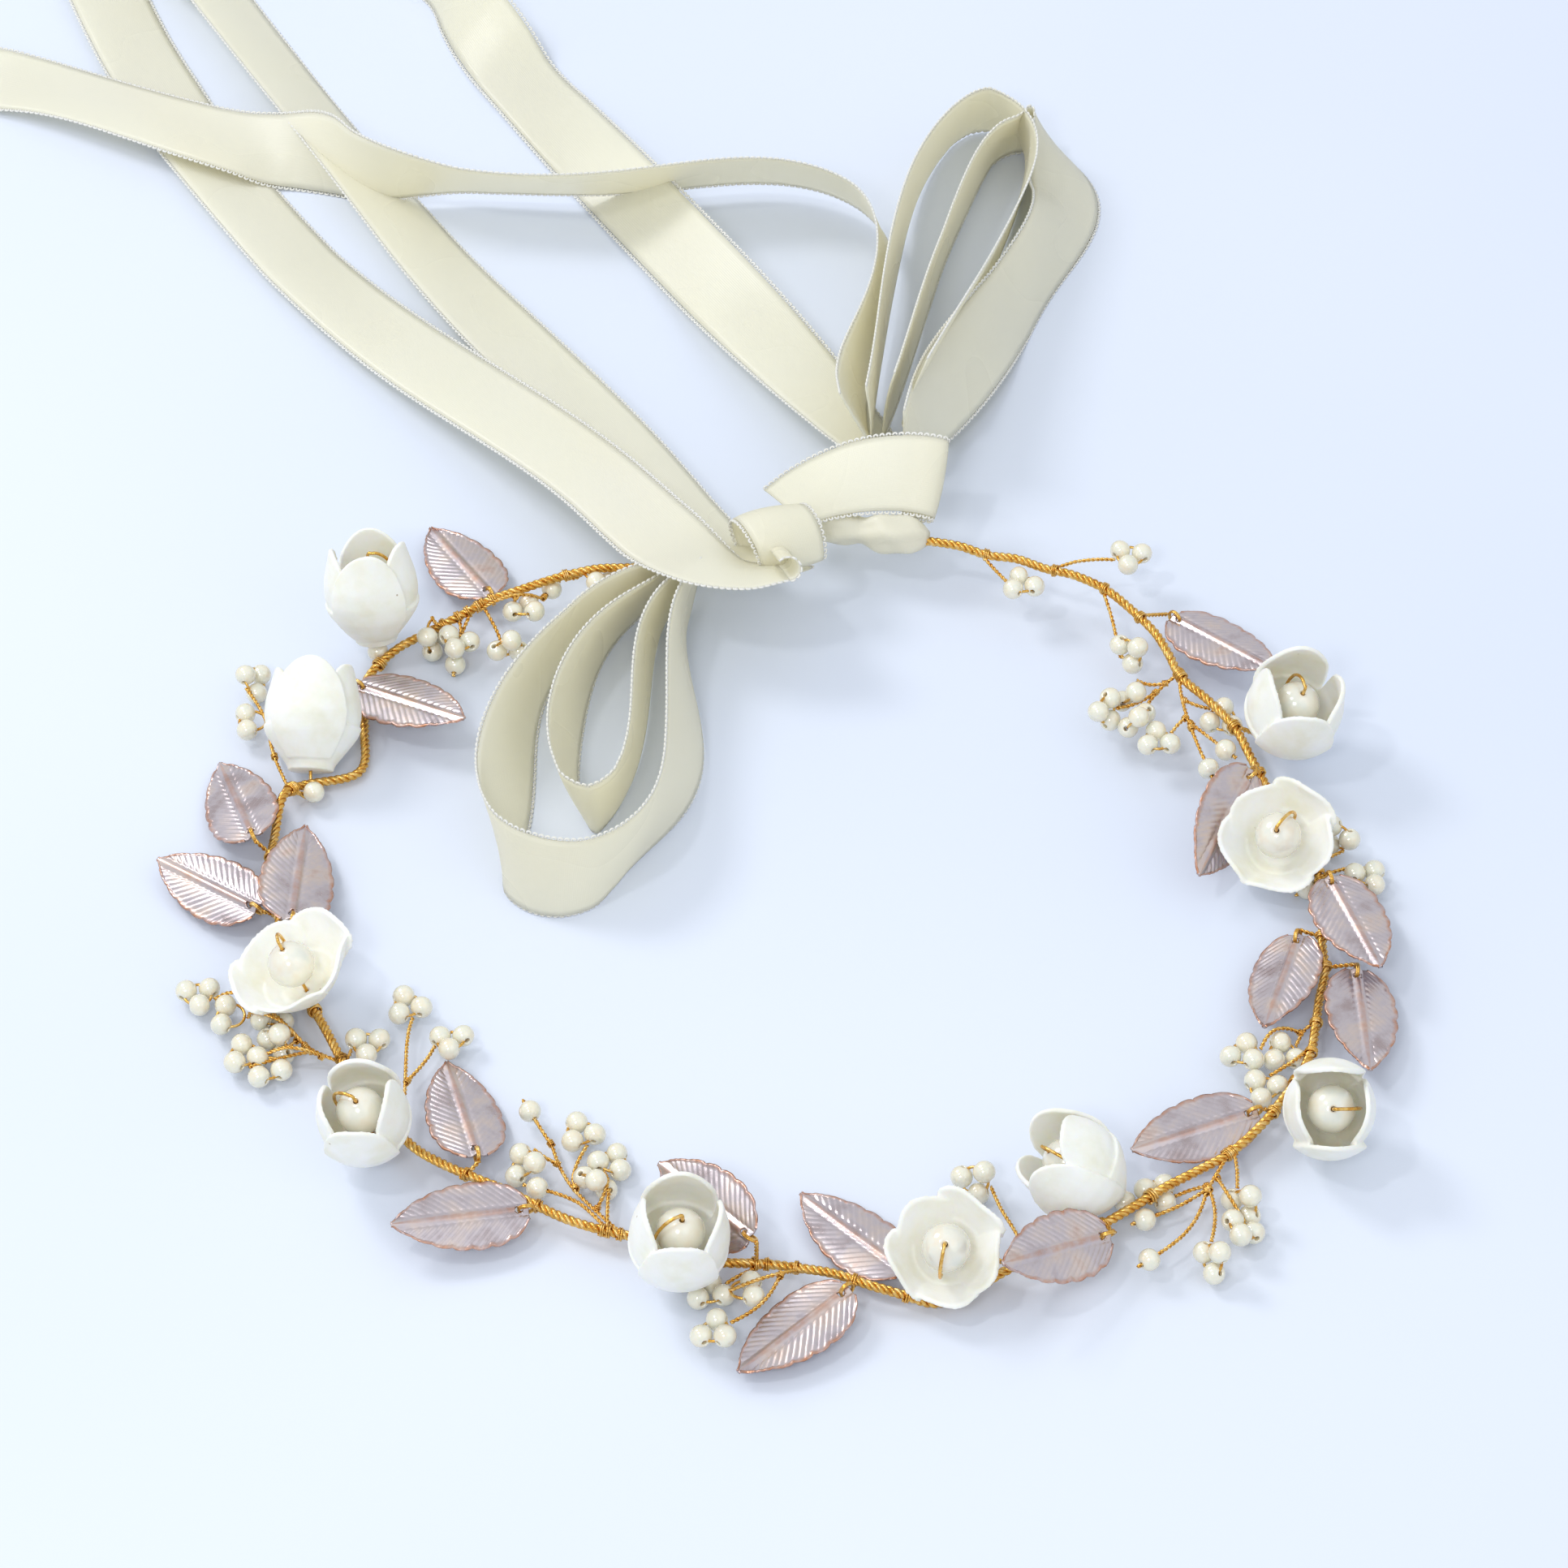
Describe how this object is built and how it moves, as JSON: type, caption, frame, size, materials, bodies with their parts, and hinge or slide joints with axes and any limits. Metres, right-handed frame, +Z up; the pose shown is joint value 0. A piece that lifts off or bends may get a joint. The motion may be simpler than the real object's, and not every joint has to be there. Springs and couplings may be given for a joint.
{
  "type": "flower crown",
  "caption": "Open wire vine crown with clay flowers, pearl centres, bead sprays, embossed metal leaves and a satin ribbon bow that ties it at the back.",
  "frame": {"origin": "centre of the vine ring, on the surface it lies on", "axes": "+Z up out of the ring, along the wearer's head axis; +Y towards the bow at the back; +X to the ring's right as seen from the front"},
  "size_m": [0.2997, 0.4608, 0.0256],
  "materials": {
    "gold_wire": "twisted bright gold wire",
    "white_clay": "matt warm white",
    "centre_pearl": "ivory pearl lustre",
    "small_pearl": "ivory pearl lustre",
    "leaf_metal": "embossed champagne rose silver",
    "satin_ribbon": "cream double-faced satin"
  },
  "bodies": {
    "vine": {"main_vine_wire": "gold_wire", "flower_stem_wires": "gold_wire", "stopper_beads": "small_pearl", "leaf_tie_wires": "gold_wire", "pearl_spray_right_back": "small_pearl", "pearl_spray_right_front": "small_pearl", "pearl_spray_front_right": "small_pearl", "pearl_spray_front": "small_pearl", "pearl_spray_left_front": "small_pearl", "pearl_spray_left_back": "small_pearl", "spray_wires": "gold_wire", "floret_loops": "gold_wire", "ribbon_knot": "satin_ribbon", "ribbon_hitch_left": "satin_ribbon", "ribbon_hitch_right": "satin_ribbon", "ribbon_front_loop_outer": "satin_ribbon", "ribbon_front_loop_inner": "satin_ribbon", "ribbon_back_loop_near": "satin_ribbon", "ribbon_back_loop_far": "satin_ribbon", "ribbon_tail_a": "satin_ribbon", "ribbon_tail_b": "satin_ribbon", "ribbon_tail_c": "satin_ribbon", "ribbon_tail_d": "satin_ribbon"},
    "rosebud_1": {"rosebud_1": "white_clay", "centre_pearl_1": "centre_pearl"},
    "rosebud_2": {"rosebud_2": "white_clay", "centre_pearl_2": "centre_pearl"},
    "open_rose_1": {"open_rose_1": "white_clay", "centre_pearl_3": "centre_pearl"},
    "rosebud_3": {"rosebud_3": "white_clay", "centre_pearl_4": "centre_pearl"},
    "rosebud_4": {"rosebud_4": "white_clay", "centre_pearl_5": "centre_pearl"},
    "open_rose_2": {"open_rose_2": "white_clay", "centre_pearl_6": "centre_pearl"},
    "rosebud_5": {"rosebud_5": "white_clay", "centre_pearl_7": "centre_pearl"},
    "rosebud_6": {"rosebud_6": "white_clay", "centre_pearl_8": "centre_pearl"},
    "open_rose_3": {"open_rose_3": "white_clay", "centre_pearl_9": "centre_pearl"},
    "rosebud_7": {"rosebud_7": "white_clay", "centre_pearl_10": "centre_pearl"},
    "leaf_1": {"leaf_1": "leaf_metal"},
    "leaf_2": {"leaf_2": "leaf_metal"},
    "leaf_3": {"leaf_3": "leaf_metal"},
    "leaf_4": {"leaf_4": "leaf_metal"},
    "leaf_5": {"leaf_5": "leaf_metal"},
    "leaf_6": {"leaf_6": "leaf_metal"},
    "leaf_7": {"leaf_7": "leaf_metal"},
    "leaf_8": {"leaf_8": "leaf_metal"},
    "leaf_9": {"leaf_9": "leaf_metal"},
    "leaf_10": {"leaf_10": "leaf_metal"},
    "leaf_11": {"leaf_11": "leaf_metal"},
    "leaf_12": {"leaf_12": "leaf_metal"},
    "leaf_13": {"leaf_13": "leaf_metal"},
    "leaf_14": {"leaf_14": "leaf_metal"},
    "leaf_15": {"leaf_15": "leaf_metal"},
    "leaf_16": {"leaf_16": "leaf_metal"},
    "leaf_17": {"leaf_17": "leaf_metal"}
  },
  "joints": [
    {"name": "rosebud_1_turn", "type": "hinge", "parent": "vine", "child": "rosebud_1", "pos_m": [-0.07668, 0.0607, 0.005], "axis": [-0.07, 0.3601, 0.9303], "continuous": true},
    {"name": "rosebud_2_turn", "type": "hinge", "parent": "vine", "child": "rosebud_2", "pos_m": [-0.08682, 0.02918, 0.00359], "axis": [0.0299, 0.8079, 0.5885], "continuous": true},
    {"name": "open_rose_1_turn", "type": "hinge", "parent": "vine", "child": "open_rose_1", "pos_m": [-0.08393, -0.02342, 0.00306], "axis": [-0.3281, 0.0199, 0.9444], "continuous": true},
    {"name": "rosebud_3_turn", "type": "hinge", "parent": "vine", "child": "rosebud_3", "pos_m": [-0.07143, -0.05491, 0.003], "axis": [-0.1409, -0.2919, 0.946], "continuous": true},
    {"name": "rosebud_4_turn", "type": "hinge", "parent": "vine", "child": "rosebud_4", "pos_m": [-0.02123, -0.08193, 0.00273], "axis": [0.0908, -0.1817, 0.9792], "continuous": true},
    {"name": "open_rose_2_turn", "type": "hinge", "parent": "vine", "child": "open_rose_2", "pos_m": [0.02313, -0.08011, 0.00341], "axis": [-0.0603, -0.5326, 0.8442], "continuous": true},
    {"name": "rosebud_5_turn", "type": "hinge", "parent": "vine", "child": "rosebud_5", "pos_m": [0.05123, -0.0677, 0.00384], "axis": [-0.7635, 0.0603, 0.643], "continuous": true},
    {"name": "rosebud_6_turn", "type": "hinge", "parent": "vine", "child": "rosebud_6", "pos_m": [0.08651, -0.04923, 0.00386], "axis": [0, -0.6606, 0.7507], "continuous": true},
    {"name": "open_rose_3_turn", "type": "hinge", "parent": "vine", "child": "open_rose_3", "pos_m": [0.08295, 0.011, 0.00342], "axis": [-0.1498, -0.4895, 0.8591], "continuous": true},
    {"name": "rosebud_7_turn", "type": "hinge", "parent": "vine", "child": "rosebud_7", "pos_m": [0.0841, 0.03863, 0.00308], "axis": [0.211, -0.2512, 0.9447], "continuous": true},
    {"name": "leaf_1_swing", "type": "hinge", "parent": "vine", "child": "leaf_1", "pos_m": [-0.05738, 0.07371, 0.00471], "axis": [-0.0806, 0.1337, 0.9877], "range_deg": [-8, 8]},
    {"name": "leaf_2_swing", "type": "hinge", "parent": "vine", "child": "leaf_2", "pos_m": [-0.07836, 0.04927, 0.0042], "axis": [-0.1658, 0.1236, 0.9784], "range_deg": [-8, 8]},
    {"name": "leaf_3_swing", "type": "hinge", "parent": "vine", "child": "leaf_3", "pos_m": [-0.09593, 0.01176, 0.00642], "axis": [-0.3229, 0.1061, 0.9405], "range_deg": [-8, 8]},
    {"name": "leaf_4_swing", "type": "hinge", "parent": "vine", "child": "leaf_4", "pos_m": [-0.09502, -0.00475, 0.00544], "axis": [-0.2702, -0.1784, 0.9461], "range_deg": [-8, 8]},
    {"name": "leaf_5_swing", "type": "hinge", "parent": "vine", "child": "leaf_5", "pos_m": [-0.08757, -0.00885, 0.00762], "axis": [0.2554, 0.114, 0.9601], "range_deg": [-8, 8]},
    {"name": "leaf_6_swing", "type": "hinge", "parent": "vine", "child": "leaf_6", "pos_m": [-0.05448, -0.05904, 0.00477], "axis": [0.0807, 0.1709, 0.982], "range_deg": [-8, 8]},
    {"name": "leaf_7_swing", "type": "hinge", "parent": "vine", "child": "leaf_7", "pos_m": [-0.04692, -0.07219, 0.00503], "axis": [0.1655, -0.2681, 0.9491], "range_deg": [-8, 8]},
    {"name": "leaf_8_swing", "type": "hinge", "parent": "vine", "child": "leaf_8", "pos_m": [-0.00988, -0.0803, 0.00908], "axis": [-0.6027, -0.4061, 0.6869], "range_deg": [-2, 2]},
    {"name": "leaf_9_swing", "type": "hinge", "parent": "vine", "child": "leaf_9", "pos_m": [0.01491, -0.08281, 0.00342], "axis": [-0.0218, 0.0636, 0.9977], "range_deg": [-8, 8]},
    {"name": "leaf_10_swing", "type": "hinge", "parent": "vine", "child": "leaf_10", "pos_m": [0.0057, -0.08961, 0.00475], "axis": [-0.0941, -0.0501, 0.9943], "range_deg": [-8, 8]},
    {"name": "leaf_11_swing", "type": "hinge", "parent": "vine", "child": "leaf_11", "pos_m": [0.04795, -0.07996, 0.00769], "axis": [0.523, -0.2608, 0.8115], "range_deg": [-8, 8]},
    {"name": "leaf_12_swing", "type": "hinge", "parent": "vine", "child": "leaf_12", "pos_m": [0.07353, -0.05139, 0.00496], "axis": [0.1198, -0.1621, 0.9795], "range_deg": [-8, 8]},
    {"name": "leaf_13_swing", "type": "hinge", "parent": "vine", "child": "leaf_13", "pos_m": [0.09087, -0.00094, 0.0069], "axis": [-0.0287, 0.0791, 0.9965], "range_deg": [-8, 8]},
    {"name": "leaf_14_swing", "type": "hinge", "parent": "vine", "child": "leaf_14", "pos_m": [0.08384, -0.01313, 0.00527], "axis": [-0.2125, 0.0946, 0.9726], "range_deg": [-8, 8]},
    {"name": "leaf_15_swing", "type": "hinge", "parent": "vine", "child": "leaf_15", "pos_m": [0.0938, -0.02083, 0.00502], "axis": [0.1442, 0.0514, 0.9882], "range_deg": [-8, 8]},
    {"name": "leaf_16_swing", "type": "hinge", "parent": "vine", "child": "leaf_16", "pos_m": [0.07748, 0.02171, 0.0095], "axis": [0.6364, -0.3733, 0.675], "range_deg": [-8, 8]},
    {"name": "leaf_17_swing", "type": "hinge", "parent": "vine", "child": "leaf_17", "pos_m": [0.06786, 0.06533, 0.00525], "axis": [-0.0562, 0.1549, 0.9863], "range_deg": [-8, 8]}
  ]
}
